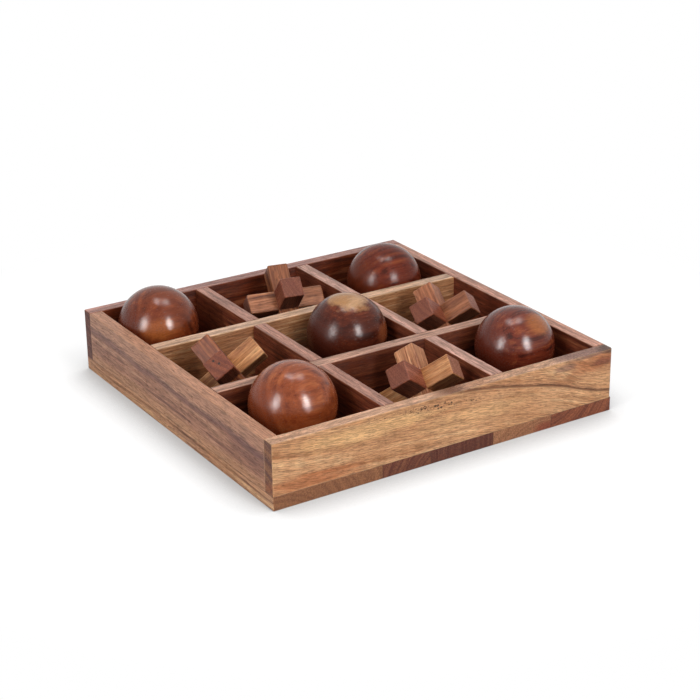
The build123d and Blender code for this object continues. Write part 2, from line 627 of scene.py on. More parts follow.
class WoodShop:
    """Builds the shared effects once and finishes every piece of wood with them."""

    pore_tone = Tone(58, 28, 18)
    seam_tone = Tone(52, 26, 20)
    seam_width = 0.0006
    seam_share = 0.75

    # The upward part of the normal where the two painted effects start and where they are full: painted
    # shade on faces turned down, and painted shading on faces turned up.
    painted_shade_slope = (-0.2, -0.5)
    painted_top_slope = (0.6, 0.95)

    # How dark and how light the streaks make the painted shading of a top face.
    painted_top_shading_values = (0.62, 1.32)

    # How much each of these changes the roughness.
    fibre_gloss = 0.05
    pore_dullness = 0.2
    end_dullness = 0.1
    wear_polish = 0.05

    # A pore's depth in heights of a fibre, and the strength of the relief.
    pore_sink = 1.4
    relief_strength = 0.6

    def __init__(self) -> None:
        """Builds the node groups."""
        self.figure = log_figure_group()
        self.end_grain = end_grain_group()
        self.arris_wear_and_highlight = arris_wear_and_highlight_group()
        self.seam = seam_group()
        self.band = band_group()
        self.stain = stain_group()
        self.flecks = fleck_group()

    def material(self, name: str, finish: WoodFinish, seat: Seat) -> bpy.types.Material:
        """Makes the material of one piece.

        Args:
            name: The material's name.
            finish: Its colours and figure.
            seat: Where its log lies.

        Returns:
            The new material.
        """
        material = bpy.data.materials.new(name)
        material.use_nodes = True
        material.node_tree.nodes.clear()
        w = Wiring(material.node_tree)
        coordinates = w.add("ShaderNodeTexCoord").outputs
        whole = coordinates["Object"]
        normal = coordinates["Normal"]
        values = {"Vector": whole, "Location": seat.centre, "Rotation": seat.turn}
        local = w.add("ShaderNodeMapping", values, vector_type="TEXTURE").outputs["Vector"]
        place = self._bent(w, local, finish.bend)
        figure = w.place(self.figure, {
            "place": place,
            "pith": (0.0, *finish.pith),
            "ring width": finish.ring_width,
            "wander": finish.wander,
            "fibre length": finish.fibre_length,
            "fibre width": finish.fibre_width,
            "seed": finish.seed,
        }).outputs
        end = w.place(self.end_grain, {"normal": normal, "grain": seat.grain()}).outputs["end"]
        wear_and_highlight = w.place(self.arris_wear_and_highlight, {
            "place": local,
            "half size": tuple(seat.half),
            "reach": finish.wear_and_highlight,
            "seed": finish.seed,
        }).outputs["wear_and_highlight"]
        colour = self._long_grain(w, finish, figure)
        colour = w.blend(end, colour, self._end_grain(w, finish, figure))
        # Painted shade: faces turned down are darkened towards a dark tone, as if in shadow.
        if finish.underside_painted_shade > 0.0:
            painted_shade_mask = w.remap(w.split(normal)[2], *self.painted_shade_slope, 0.0, finish.underside_painted_shade)
            colour = w.blend(painted_shade_mask, colour, finish.underside_painted_shade_tone.linear())
        # Painted shading: faces turned up take another tone, lighter as painted light and sheen on the top
        # edges, darker as painted shade on the cell floors.
        if finish.painted_top_shading is not None:
            up = w.remap(w.split(normal)[2], *self.painted_top_slope, 0.0, finish.painted_top_shading_share)
            colour = w.blend(up, colour, self._painted_top_shading(w, finish.painted_top_shading, figure))
        colour = self._stained(w, colour, finish, local)
        colour = self._banded(w, colour, finish, figure, place)
        colour = self._fibres(w, colour, finish, figure)
        for flecks in finish.flecks:
            colour = self._flecked(w, colour, flecks, place)
        # Rubbed arrises lightened towards the pale tone: partly wear, partly painted highlight along the
        # edges.
        colour = w.blend(w.math("MULTIPLY", wear_and_highlight, finish.wear_and_highlight_share), colour, finish.pale.linear())
        for axis, line in finish.seams:
            colour = self._seamed(w, colour, whole, axis, line)
        self._shade(w, finish, colour, figure, end, wear_and_highlight)
        return material

    @staticmethod
    def _bent(w: Wiring, local: Socket, bend: Optional[Bend]) -> Socket:
        """The place in the log, raised by as much as the grain dips there.

        Args:
            w: The material's wiring.
            local: The place from the board's centre.
            bend: The dip of the grain, or None where it runs straight.

        Returns:
            The place's socket.
        """
        if bend is None:
            return local
        x, y, z = w.split(local)
        curve = w.add("ShaderNodeFloatCurve")
        w.feed(curve.inputs["Value"], w.math("ADD", w.math("DIVIDE", x, bend.length), 0.5))
        line = curve.mapping.curves[0]
        for index, (along, drop) in enumerate(bend.points):
            spot = (along / bend.length + 0.5, drop / bend.depth)
            if index < len(line.points):
                line.points[index].location = spot
            else:
                line.points.new(*spot)
        curve.mapping.update()
        return w.join(x, y, w.math("ADD", z, w.math("MULTIPLY", curve.outputs["Value"], bend.depth)))

    @staticmethod
    def _long_grain(w: Wiring, finish: WoodFinish, figure: Any) -> Socket:
        """The colour of a face that runs along the fibres.

        Args:
            w: The material's wiring.
            finish: Its colours.
            figure: The masks of its log.

        Returns:
            The colour's socket.
        """
        tone = w.math("ADD", w.swing(figure["ring"], finish.ring_share), 0.5)
        tone = w.math("ADD", tone, w.swing(figure["streak"], finish.streak_share))
        tone = w.math("ADD", tone, w.swing(figure["ripple"], finish.ripple_share), clamp=True)
        dark = w.blend(w.remap(tone, 0.0, 0.5), finish.deep.linear(), finish.body.linear())
        light = w.blend(w.remap(tone, 0.5, 1.0), dark, finish.pale.linear())
        return w.blend(w.math("MULTIPLY", figure["drift"], finish.drift_share), light, finish.drift.linear())

    @staticmethod
    def _end_grain(w: Wiring, finish: WoodFinish, figure: Any) -> Socket:
        """The colour of a face that cuts across the fibres."""
        share = w.remap(figure["ring"], 0.0, 1.0, finish.end_ring_share, 0.0)
        return w.blend(share, finish.end.linear(), finish.deep.linear())

    def _painted_top_shading(self, w: Wiring, painted_top_shading: Tone, figure: Any) -> Socket:
        """The painted shading of a top face, darker and lighter along the streaks: painted light and sheen
        on the tray's top edges, painted shade on the cell floors.
        """
        value = w.remap(figure["streak"], 0.0, 1.0, *self.painted_top_shading_values)
        return w.add("ShaderNodeHueSaturation", {"Color": painted_top_shading.linear(), "Value": value}).outputs["Color"]

    def _banded(self, w: Wiring, colour: Socket, finish: WoodFinish, figure: Any, place: Socket) -> Socket:
        """Lays the finish's bands over the colour.

        Args:
            w: The material's wiring.
            colour: The colour below.
            finish: The finish with its bands.
            figure: The masks of its log.
            place: The place in the log.

        Returns:
            The colour's socket.
        """
        for index, band in enumerate(finish.bands):
            mask = w.place(self.band, {
                "place": place,
                "low": band.low,
                "high": band.high,
                "softness": band.softness,
                "wave": band.wave,
                "fibre": figure["fibre"],
                "seed": finish.seed + index,
            }).outputs["band"]
            colour = w.blend(w.math("MULTIPLY", mask, band.share), colour, band.tone.linear())
        return colour

    def _stained(self, w: Wiring, colour: Socket, finish: WoodFinish, local: Socket) -> Socket:
        """Lays the finish's stains over the colour.

        Args:
            w: The material's wiring.
            colour: The colour below.
            finish: The finish with its stains.
            local: The place from the piece's centre.

        Returns:
            The colour's socket.
        """
        for index, stain in enumerate(finish.stains):
            mask = w.place(self.stain, {
                "place": local,
                "centre": stain.centre,
                "reach": stain.reach,
                "core": stain.core,
                "ragged": stain.ragged,
                "seed": finish.seed + index,
            }).outputs["stain"]
            colour = w.blend(w.math("MULTIPLY", mask, stain.share), colour, stain.tone.linear())
        return colour

    def _fibres(self, w: Wiring, colour: Socket, finish: WoodFinish, figure: Any) -> Socket:
        """Lightens and darkens the colour along the fibres, and adds the dark open pores.

        Args:
            w: The material's wiring.
            colour: The colour below.
            finish: How strong the fibres and the pores are.
            figure: The masks of its log.

        Returns:
            The colour's socket.
        """
        swing = finish.fibre_depth / 2
        value = w.remap(figure["fibre"], 0.0, 1.0, 1.0 - swing, 1.0 + swing)
        shade = w.add("ShaderNodeHueSaturation", {"Value": value, "Color": colour})
        share = w.math("MULTIPLY", figure["pore"], finish.pore_depth)
        return w.blend(share, shade.outputs["Color"], self.pore_tone.linear())

    def _flecked(self, w: Wiring, colour: Socket, flecks: Flecks, place: Socket) -> Socket:
        """Lays one run of mineral flecks over the colour.

        Args:
            w: The material's wiring.
            colour: The colour below.
            flecks: The run.
            place: The place in the log.

        Returns:
            The colour's socket.
        """
        x, _, z = w.split(place)
        mask = w.place(self.flecks, {
            "along": x,
            "across": z,
            "start": flecks.start,
            "end": flecks.end,
            "line": flecks.line,
            "spread": flecks.spread,
            "fleck": flecks.size,
            "seed": flecks.seed,
        }).outputs["fleck"]
        return w.blend(w.math("MULTIPLY", mask, flecks.share), colour, flecks.tone.linear())

    def _seamed(self, w: Wiring, colour: Socket, whole: Socket, axis: int, line: float) -> Socket:
        """Lays one glue seam over the colour.

        Args:
            w: The material's wiring.
            colour: The colour below.
            whole: The place in the whole game.
            axis: The axis that the seam stands across.
            line: Where on that axis it is.

        Returns:
            The colour's socket.
        """
        across = w.split(whole)[axis]
        values = {"across": across, "seam": line, "width": self.seam_width, "place": whole}
        mask = w.place(self.seam, values).outputs["line"]
        return w.blend(w.math("MULTIPLY", mask, self.seam_share), colour, self.seam_tone.linear())

    def _shade(
        self, w: Wiring, finish: WoodFinish, colour: Socket, figure: Any, end: Socket, wear_and_highlight: Socket
    ) -> None:
        """Joins the colour, the gloss and the relief to the surface.

        Args:
            w: The material's wiring.
            finish: Its gloss, sheen and relief.
            colour: The finished colour.
            figure: The masks of its log.
            end: Where the end grain shows.
            wear_and_highlight: Where the arrises are rubbed.
        """
        dullest = finish.gloss + self.fibre_gloss
        shiniest = finish.gloss - self.fibre_gloss
        dry = w.math("MULTIPLY", figure["pore"], self.pore_dullness)
        rough = w.math("ADD", w.remap(figure["fibre"], 0.0, 1.0, dullest, shiniest), dry)
        rough = w.math("ADD", rough, w.math("MULTIPLY", end, self.end_dullness))
        rough = w.math("SUBTRACT", rough, w.math("MULTIPLY", wear_and_highlight, self.wear_polish), clamp=True)
        ridge = w.math("SUBTRACT", figure["fibre"], w.math("MULTIPLY", figure["pore"], self.pore_sink))
        bump = w.add("ShaderNodeBump", {
            "Strength": self.relief_strength,
            "Distance": finish.relief,
            "Height": ridge,
        })
        surface = w.add("ShaderNodeBsdfPrincipled", {
            "Base Color": colour,
            "Roughness": rough,
            "Specular IOR Level": finish.sheen,
            "Normal": bump.outputs["Normal"],
        })
        w.add("ShaderNodeOutputMaterial", {"Surface": surface.outputs["BSDF"]})


def report(name: str, piece: bpy.types.Object, material: bpy.types.Material) -> None:
    """Logs one finished piece."""
    LOG.info("%s: %d faces, finished with %s", name, len(piece.data.polygons), material.name)


def dress(node: str, material: bpy.types.Material) -> None:
    """Gives a solid of the frame its material.

    Args:
        node: The solid's node.
        material: The material.
    """
    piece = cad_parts[node]
    for slot in piece.material_slots:
        slot.material = material
    report(node, piece, material)


def board_seat(node: str, grain: Grain) -> Seat:
    """The seat of a board that lies square in the tray.

    Args:
        node: The board's node.
        grain: The way its grain runs.

    Returns:
        Its centre, turn and half size, with the grain along the seat's X.
    """
    low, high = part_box(node)
    half = (high - low) / 2
    if grain is Grain.ALONG_Y:
        half = Vector((half.y, half.x, half.z))
    turn = Euler(tuple(math.radians(angle) for angle in grain.value))
    return Seat((low + high) / 2, turn, half)


TAN = WoodFinish(
    deep=Tone(138, 90, 56),
    body=Tone(184, 138, 98),
    pale=Tone(208, 168, 124),
    drift=Tone(172, 120, 78),
    end=Tone(104, 66, 54),
)

BROWN = WoodFinish(
    deep=Tone(104, 62, 46),
    body=Tone(154, 108, 82),
    pale=Tone(182, 138, 108),
    drift=Tone(132, 84, 62),
    end=Tone(92, 56, 46),
)

RED = WoodFinish(
    deep=Tone(78, 34, 20),
    body=Tone(118, 60, 36),
    pale=Tone(146, 84, 54),
    drift=Tone(98, 46, 28),
    end=Tone(96, 52, 40),
)


@dataclass
class Tray:
    """The nine-cell tray: base staves, four walls and the halved lattice."""

    shop: WoodShop
    base_top: float = 0.0108
    face: float = 0.0054
    outer_joint: float = 0.14
    # The staves' top tone: painted shade on the cell floors.
    cell_floor_painted_shade: Tone = Tone(74, 34, 20)

    def build(self) -> None:
        """Dresses every fixed piece."""
        self._walls()
        self._lattice()
        self._base()

    def _finish(self, node: str, grain: Grain, finish: WoodFinish) -> None:
        """Dresses one piece of the tray."""
        dress(node, self.shop.material(node + "_wood", finish, board_seat(node, grain)))

    def _front_finish(self) -> WoodFinish:
        """The figured front board: a dipping grain, one long vein, mineral flecks and worn ends.

        Returns:
            The board's finish.
        """
        outer = -self.face
        # The distances from the board's middle and the drops there, the two ends first.
        dip = Bend(
            length=0.300,
            depth=0.050,
            points=(
                (-0.150, 0.0),
                (0.150, 0.0488),
                (-0.123, 0.0045),
                (-0.082, 0.0080),
                (-0.007, 0.0135),
                (0.020, 0.0164),
                (0.040, 0.0193),
                (0.063, 0.0241),
                (0.087, 0.0295),
                (0.105, 0.0350),
                (0.123, 0.0418),
                (0.136, 0.0458),
            ),
        )
        # Each one's lower and upper height, tone, share, softness and wave.
        vein = Band(0.0339, 0.0361, Tone(96, 54, 32), 0.9, 0.0010, 0.0006)
        haze = Band(0.0358, 0.0392, Tone(150, 98, 62), 0.55, 0.0018, 0.001)
        streak = Band(0.0106, 0.0122, Tone(140, 92, 60), 0.45, 0.0012, 0.001)
        # Each one's middle, reach, tone and share, and how ragged it is.
        stains = (
            Stain((-0.118, outer, -0.0150), (0.060, 0.02, 0.0080), Tone(156, 88, 48), 0.7, 0.6),
            Stain((0.134, outer, 0.0130), (0.040, 0.02, 0.0100), Tone(152, 88, 50), 0.75, 0.6),
            Stain((0.141, outer, 0.0120), (0.016, 0.02, 0.0045), Tone(104, 50, 34), 0.75, 0.6),
            Stain((0.104, outer, 0.0150), (0.014, 0.012, 0.0040), Tone(122, 88, 74), 0.7),
            Stain((0.126, 0.0, 0.0203), (0.036, 0.02, 0.0030), Tone(104, 74, 70), 0.75),
            Stain((0.149, -0.003, 0.0203), (0.014, 0.012, 0.0040), Tone(66, 42, 34), 0.85),
            Stain((0.108, outer, 0.0040), (0.024, 0.02, 0.0040), Tone(136, 88, 54), 0.55),
            Stain((0.056, outer, 0.0020), (0.030, 0.02, 0.0060), Tone(154, 104, 64), 0.5, 0.6),
            Stain((0.140, outer, -0.0060), (0.030, 0.02, 0.0100), Tone(202, 154, 110), 0.5, 0.6),
            Stain((-0.070, outer, 0.0100), (0.075, 0.02, 0.0090), Tone(214, 172, 118), 0.5, 0.6),
            Stain((0.020, outer, -0.0020), (0.070, 0.02, 0.0100), Tone(206, 164, 116), 0.45, 0.6),
        )
        # Each run's start, end, line, spread, fleck size, tone and share.
        flecks = (
            Flecks(-0.042, 0.008, 0.0262, 0.0062, 0.0017, Tone(54, 34, 24), 0.9),
            Flecks(-0.078, 0.030, 0.0266, 0.0042, 0.0013, Tone(84, 56, 38), 0.75, seed=5.0),
            Flecks(-0.030, 0.000, 0.0208, 0.0040, 0.0008, Tone(104, 70, 46), 0.7, seed=8.0),
            Flecks(-0.084, -0.064, 0.0225, 0.0050, 0.0016, Tone(122, 90, 60), 0.6, seed=11.0),
        )
        return replace(
            TAN,
            ring_width=0.006,
            ring_share=0.3,
            streak_share=0.55,
            wander=0.0014,
            ripple_share=0.2,
            fibre_length=0.007,
            fibre_width=0.00055,
            fibre_depth=0.85,
            drift=Tone(160, 106, 64),
            end=Tone(90, 54, 44),
            # Painted light and sheen on its top edge.
            painted_top_shading=Tone(190, 150, 124),
            seed=1.7,
            bend=dip,
            bands=(streak, haze, vein),
            stains=stains,
            flecks=flecks,
        )

    def _walls(self) -> None:
        """The front and back boards, and the side boards between them."""
        # Each board's lighter top tone is painted light and sheen on its top edge.
        seam = ((2, self.base_top),)
        front = replace(self._front_finish(), seams=seam)
        back = replace(
            RED,
            deep=Tone(60, 24, 12),
            body=Tone(102, 42, 20),
            drift=Tone(82, 34, 18),
            painted_top_shading=Tone(168, 126, 116),
            seed=4.1,
            seams=seam,
        )
        left = replace(
            BROWN,
            pith=(0.02, -0.11),
            ring_width=0.005,
            wander=0.005,
            painted_top_shading=Tone(182, 134, 108),
            bands=(
                Band(0.0085, 1.0, Tone(166, 120, 94), 0.75, 0.0020, 0.006),
                Band(0.0030, 0.0085, Tone(100, 62, 56), 0.75, 0.0022, 0.006),
                Band(-1.0, -0.0130, Tone(176, 128, 88), 0.5, 0.0030, 0.004),
            ),
            stains=(Stain((-0.120, self.face, 0.004), (0.040, 0.02, 0.016), Tone(112, 70, 58), 0.6, 0.5),),
            seed=6.3,
            seams=seam,
        )
        right = replace(RED, body=Tone(112, 50, 30), painted_top_shading=Tone(190, 142, 122), seed=8.9, seams=seam)
        self._finish("wall_front", Grain.ALONG_X, front)
        self._finish("wall_back", Grain.ALONG_X, back)
        self._finish("wall_left", Grain.ALONG_Y, left)
        self._finish("wall_right", Grain.ALONG_Y, right)

    def _lattice(self) -> None:
        """Two dividers along the front board's way and two across them."""
        # Each divider's lighter top tone is painted light and sheen on its top edge.
        front = replace(
            RED,
            deep=Tone(58, 24, 14),
            body=Tone(96, 46, 28),
            pale=Tone(132, 74, 48),
            drift=Tone(74, 32, 19),
            painted_top_shading=Tone(186, 146, 126),
            seed=10.2,
        )
        back = replace(
            TAN, body=Tone(168, 118, 80), drift=Tone(140, 86, 54), painted_top_shading=Tone(200, 166, 140), seed=12.6)
        left = replace(RED, body=Tone(114, 54, 34), painted_top_shading=Tone(166, 124, 108), seed=14.4)
        right = replace(RED, body=Tone(126, 66, 44), painted_top_shading=Tone(190, 150, 134), seed=16.8)
        self._finish("divider_over_front", Grain.ALONG_X, front)
        self._finish("divider_over_back", Grain.ALONG_X, back)
        self._finish("divider_under_left", Grain.ALONG_Y, left)
        self._finish("divider_under_right", Grain.ALONG_Y, right)

    def _base(self) -> None:
        """The five staves, each from its own board, with a seam along each of its glued edges."""
        # The red heart in the end of the fourth stave. It runs the stave's whole length.
        heart = Stain((0.0, -0.0230, -0.0050), (1.0, 0.0180, 0.0085), Tone(122, 58, 36), 0.9, 0.3)
        staves = {
            "base_stave_1": replace(
                TAN, deep=Tone(96, 52, 32), body=Tone(172, 126, 94), end=Tone(132, 86, 55),
                pith=(0.04, -0.03), end_ring_share=0.4, seed=21.0),
            "base_stave_2": replace(
                RED, end=Tone(110, 62, 40), pith=(-0.05, -0.03), end_ring_share=0.8, seed=22.5),
            "base_stave_3": replace(
                RED, end=Tone(92, 48, 32), pith=(0.09, 0.0), ring_width=0.0034, end_ring_share=1.0,
                wander=0.001, seed=24.1),
            "base_stave_4": replace(
                TAN, deep=Tone(112, 66, 44), end=Tone(148, 101, 68), pith=(-0.02, -0.04),
                end_ring_share=0.6, stains=(heart,), seed=26.3),
            "base_stave_5": replace(RED, end=Tone(134, 74, 46), pith=(0.03, 0.03), seed=28.7),
        }
        for node, finish in staves.items():
            ends = sorted(corner.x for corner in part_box(node))
            joints = tuple((0, end) for end in ends if abs(end) < self.outer_joint)
            # Painted shade: the staves' tops, which are the cell floors, take a dark tone.
            wood = replace(finish, painted_top_shading=self.cell_floor_painted_shade, wear_and_highlight_share=0.0, seams=joints)
            self._finish(node, Grain.ALONG_Y, wood)


def new_shape(name: str, takes: dict[str, str], gives: str) -> tuple[Wiring, Any]:
    """Starts a Geometry Nodes group.

    Args:
        name: The group's name.
        takes: Each input's name and its kind.
        gives: The name of the shape that it puts out.

    Returns:
        The group's wiring and the outputs of its input node.
    """
    tree = bpy.data.node_groups.new(name, "GeometryNodeTree")
    for label, kind in takes.items():
        tree.interface.new_socket(name=label, in_out="INPUT", socket_type="NodeSocket" + kind)
    tree.interface.new_socket(name=gives, in_out="OUTPUT", socket_type="NodeSocketGeometry")
    wiring = Wiring(tree)
    return wiring, wiring.add("NodeGroupInput").outputs


def end_shape(w: Wiring, shape: Socket, wood: Socket) -> bpy.types.NodeTree:
    """Ends a Geometry Nodes group: real instances, in their wood.

    Args:
        w: The group's wiring.
        shape: The shape that it puts out.
        wood: The shape's material.

    Returns:
        The finished group.
    """
    real = w.add("GeometryNodeRealizeInstances", {"Geometry": shape}).outputs["Geometry"]
    dressed = w.add("GeometryNodeSetMaterial", {"Geometry": real, "Material": wood})
    w.feed(w.add("NodeGroupOutput").inputs[0], dressed.outputs["Geometry"])
    return w.tree


def turned_ball_tree() -> bpy.types.NodeTree:
    """A ball off the lathe: not quite round, with faint turning marks, never larger than its radius.

    Returns:
        A Geometry Nodes group that makes one ball in its place.
    """
    takes = {
        "radius": "Float",
        "centre": "Vector",
        "lathe axis": "Vector",
        "unevenness": "Float",
        "turning mark": "Float",
        "mark pitch": "Float",
        "seed": "Float",
        "segments": "Int",
        "rings": "Int",
        "wood": "Material",
    }
    w, given = new_shape("turned_ball", takes, "ball")
    radius = given["radius"]
    sphere = w.add("GeometryNodeMeshUVSphere", {
        "Segments": given["segments"],
        "Rings": given["rings"],
        "Radius": radius,
    })
    spot = w.add("GeometryNodeInputPosition").outputs["Position"]
    waves = w.noise(w.vector("DIVIDE", spot, w.join(radius, radius, radius)), given["seed"], detail=1.0)
    sag = w.math("MULTIPLY", waves.outputs["Fac"], given["unevenness"])
    height = w.math("DIVIDE", w.split(spot)[2], given["mark pitch"])
    groove = w.math("MULTIPLY", w.math("ADD", w.math("SINE", height), 1.0), given["turning mark"])
    depth = w.math("DIVIDE", w.math("ADD", sag, groove), radius)
    inwards = w.add("ShaderNodeVectorMath", operation="SCALE")
    w.feed(inwards.inputs[0], spot)
    w.feed(inwards.inputs["Scale"], w.math("MULTIPLY", depth, -1.0))
    shaped = w.add("GeometryNodeSetPosition", {
        "Geometry": sphere.outputs["Mesh"],
        "Offset": inwards.outputs["Vector"],
    })
    placed = w.add("GeometryNodeTransform", {
        "Geometry": shaped.outputs["Geometry"],
        "Translation": given["centre"],
        "Rotation": given["lathe axis"],
    })
    smooth = w.add("GeometryNodeSetShadeSmooth", {"Geometry": placed.outputs["Geometry"]})
    return end_shape(w, smooth.outputs["Geometry"], given["wood"])


def grown(name: str, tree: bpy.types.NodeTree, values: dict[str, Any]) -> bpy.types.Object:
    """Makes a plain mesh piece from a Geometry Nodes group.

    Args:
        name: The piece's name.
        tree: The group.
        values: What each of its inputs is set to, by name.

    Returns:
        The new piece, at the origin, with no modifier.
    """
    seedling = bpy.data.objects.new(name + "_seedling", bpy.data.meshes.new(name + "_seedling"))
    bpy.context.scene.collection.objects.link(seedling)
    modifier = seedling.modifiers.new("nodes", "NODES")
    modifier.node_group = tree
    for socket in tree.interface.items_tree:
        if socket.in_out == "INPUT":
            modifier[socket.identifier] = values[socket.name]
    bpy.context.view_layer.update()
    evaluated = seedling.evaluated_get(bpy.context.evaluated_depsgraph_get())
    mesh = bpy.data.meshes.new_from_object(evaluated)
    mesh.name = name
    bpy.data.objects.remove(seedling)
    piece = bpy.data.objects.new(name, mesh)
    bpy.context.scene.collection.objects.link(piece)
    return piece


@dataclass
class Balls:
    """The five turned balls, each with the figure that its billet gave it."""

    shop: WoodShop
    gloss: float = 0.17
    dull_gloss: float = 0.2
    sheen: float = 0.28
    segments: int = 128
    rings: int = 64
    unevenness: float = 0.00030
    turning_mark: float = 0.000006
    mark_pitch: float = 0.00035
    tree: bpy.types.NodeTree = field(default_factory=turned_ball_tree)

    def build(self) -> None:
        """Turns and dresses every ball."""
        base = replace(
            RED,
            deep=Tone(62, 22, 10),
            body=Tone(102, 42, 20),
            pale=Tone(138, 68, 34),
            drift=Tone(80, 30, 15),
            end=Tone(94, 38, 19),
            gloss=self.gloss,
            sheen=self.sheen,
            wear_and_highlight_share=0.0,
            ring_share=0.45,
            end_ring_share=0.3,
            streak_share=0.6,
            ripple_share=0.0,
            drift_share=0.6,
            fibre_length=0.007,
            fibre_width=0.0007,
            fibre_depth=0.34,
            pore_depth=0.25,
            relief=0.00005,
        )
        finishes = {
            "ball_back_left": replace(
                base,
                drift=Tone(118, 54, 24),
                pith=(0.012, 0.006),
                seed=31.0,
                stains=(Stain((-0.012, -0.026, 0.008), (0.022, 0.016, 0.011), Tone(156, 86, 42), 0.7),),
            ),
            "ball_front_left": replace(
                base,
                deep=Tone(84, 32, 15),
                body=Tone(138, 68, 35),
                pale=Tone(164, 92, 52),
                drift=Tone(112, 48, 22),
                end=Tone(128, 60, 32),
                pith=(0.05, -0.03),
                seed=33.3,
            ),
            "ball_centre": replace(
                base,
                deep=Tone(46, 17, 11),
                body=Tone(82, 34, 20),
                pale=Tone(112, 52, 30),
                drift=Tone(62, 25, 16),
                end=Tone(74, 30, 18),
                pith=(0.0, -0.03),
                wander=0.005,
                gloss=self.dull_gloss,
                sheen=0.18,
                seed=35.1,
                stains=(
                    Stain((0.0, -0.001, 0.0315), (0.021, 0.021, 0.016), Tone(170, 124, 82), 0.9, 0.8, 0.62),
                    Stain((0.002, -0.010, 0.0290), (0.0110, 0.0080, 0.008), Tone(190, 152, 116), 0.6, 0.9),
                    Stain((0.020, -0.022, 0.004), (0.016, 0.016, 0.010), Tone(136, 72, 40), 0.7),
                ),
            ),
            "ball_back_right": replace(
                base,
                deep=Tone(62, 22, 13),
                body=Tone(108, 42, 24),
                drift=Tone(82, 31, 18),
                pith=(0.04, 0.05),
                gloss=self.dull_gloss,
                sheen=0.16,
                seed=37.7,
            ),
            "ball_front_right": replace(
                base,
                deep=Tone(56, 20, 14),
                body=Tone(104, 42, 26),
                pale=Tone(140, 72, 40),
                drift=Tone(74, 29, 20),
                end=Tone(94, 38, 24),
                pith=(-0.03, 0.04),
                seed=39.2,
                stains=(Stain((0.008, -0.018, 0.022), (0.016, 0.014, 0.010), Tone(158, 94, 50), 0.75, 0.4),),
            ),
        }
        for node, finish in finishes.items():
            self._turn(node, finish)

    def _turn(self, node: str, finish: WoodFinish) -> None:
        """Makes one ball in the place of its plain solid.

        Args:
            node: The solid's node.
            finish: The ball's wood.
        """
        low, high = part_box(node)
        centre = (low + high) / 2
        radius = (high.z - low.z) / 2
        seat = Seat(centre, Euler((0.0, 0.0, 0.0)), Vector((radius, radius, radius)))
        material = self.shop.material(node + "_wood", finish, seat)
        piece = grown(node + "_turned", self.tree, {
            "radius": radius,
            "centre": centre,
            "lathe axis": (0.0, math.radians(90.0), 0.0),
            "unevenness": self.unevenness,
            "turning mark": self.turning_mark,
            "mark pitch": self.mark_pitch,
            "seed": finish.seed,
            "segments": self.segments,
            "rings": self.rings,
            "wood": material,
        })
        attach(piece, node + "_piece")
        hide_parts(node)
        report(piece.name, piece, material)


def direction(heading: float, climb: float) -> Vector:
    """A unit vector from its heading about Z and its climb, in radians."""
    flat = math.cos(climb)
    return Vector((flat * math.cos(heading), flat * math.sin(heading), math.sin(climb)))


@dataclass(frozen=True)
class JackSeat:
    """How one jack lies: the turn of its first stick about Z, in degrees, and its stance."""

    turn: float
    stance: Stance

    def axes(self) -> tuple[Vector, Vector, Vector]:
        """Finds which way the jack's pieces run.

        Returns:
            The directions of the under stick, the over stick and the stubs.
        """
        if self.stance is Stance.TRIPOD:
            rise = math.asin(math.sqrt(1 / 3))
            headings = ((self.turn, rise), (self.turn + 120.0, rise), (self.turn + 240.0, rise))
        else:
            rise = math.radians(45.0)
            headings = ((self.turn, 0.0), (self.turn + 90.0, rise), (self.turn - 90.0, rise))
        return tuple(direction(math.radians(heading), climb) for heading, climb in headings)


def pin_row_tree() -> bpy.types.NodeTree:
    """A straight row of small round pins, driven in until their heads stand just proud.

    Returns:
        A Geometry Nodes group that makes the row in its place.
    """
    takes = {
        "start": "Vector",
        "step": "Vector",
        "facing": "Vector",
        "pins": "Int",
        "sides": "Int",
        "head radius": "Float",
        "length": "Float",
        "wood": "Material",
    }
    w, given = new_shape("pin_row", takes, "row")
    line = w.add("GeometryNodeMeshLine", {
        "Count": given["pins"],
        "Start Location": given["start"],
        "Offset": given["step"],
    }, mode="OFFSET")
    pin = w.add("GeometryNodeMeshCylinder", {
        "Vertices": given["sides"],
        "Radius": given["head radius"],
        "Depth": given["length"],
    }, fill_type="NGON")
    row = w.add("GeometryNodeInstanceOnPoints", {
        "Points": line.outputs["Mesh"],
        "Instance": pin.outputs["Mesh"],
        "Rotation": given["facing"],
    })
    return end_shape(w, row.outputs["Instances"], given["wood"])


